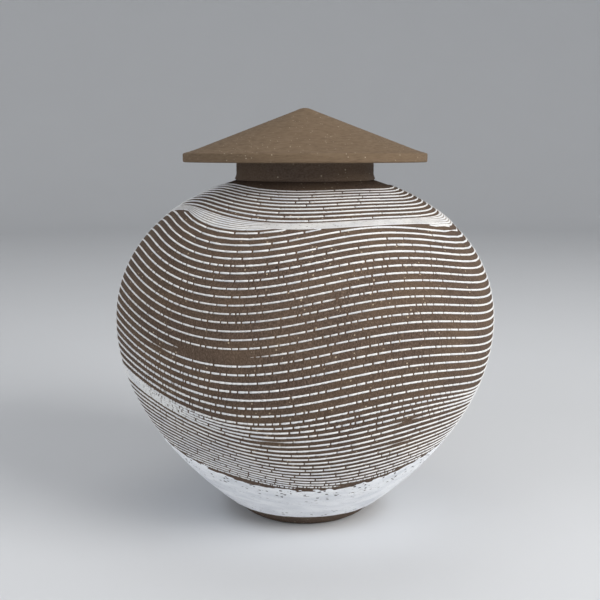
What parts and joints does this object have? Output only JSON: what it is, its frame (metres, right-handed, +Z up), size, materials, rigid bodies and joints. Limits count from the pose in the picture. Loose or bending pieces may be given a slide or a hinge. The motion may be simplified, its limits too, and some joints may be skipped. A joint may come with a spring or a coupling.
{
  "type": "lidded ceramic jar",
  "caption": "Round-bellied stoneware jar with combed white slip lines, a short neck collar and a conical lift-off lid that overhangs the neck.",
  "frame": {"origin": "centre of the foot on the surface the jar stands on", "axes": "+Z up along the jar's turning axis; -Y towards the viewer of the pictured side; +X to that viewer's right"},
  "size_m": [0.2142, 0.2142, 0.2293],
  "materials": {
    "clay": "matte, unglazed speckled brown stoneware",
    "collar_clay": "matte, unglazed speckled brown stoneware",
    "lower_slip": "matte white slip, finely cracked",
    "belly_slip": "matte white slip, finely cracked",
    "shoulder_slip": "matte white slip",
    "band_slip": "matte white slip, finely combed",
    "skirt_slip": "matte white slip with small dark pits",
    "lid_clay": "matte, unglazed speckled taupe stoneware with faint throwing lines",
    "flange_clay": "matte, unglazed stoneware"
  },
  "bodies": {
    "jar": {"jar_body": "clay", "neck_collar": "collar_clay", "lower_lines": "lower_slip", "belly_lines": "belly_slip", "shoulder_lines": "shoulder_slip", "slip_band": "band_slip", "slip_skirt": "skirt_slip"},
    "lid": {"lid_cone": "lid_clay", "lid_flange": "flange_clay"}
  },
  "joints": [
    {"name": "lid_lift", "type": "slide", "parent": "jar", "child": "lid", "axis": [0, 0, 1], "range_m": [0, 0.06]}
  ]
}
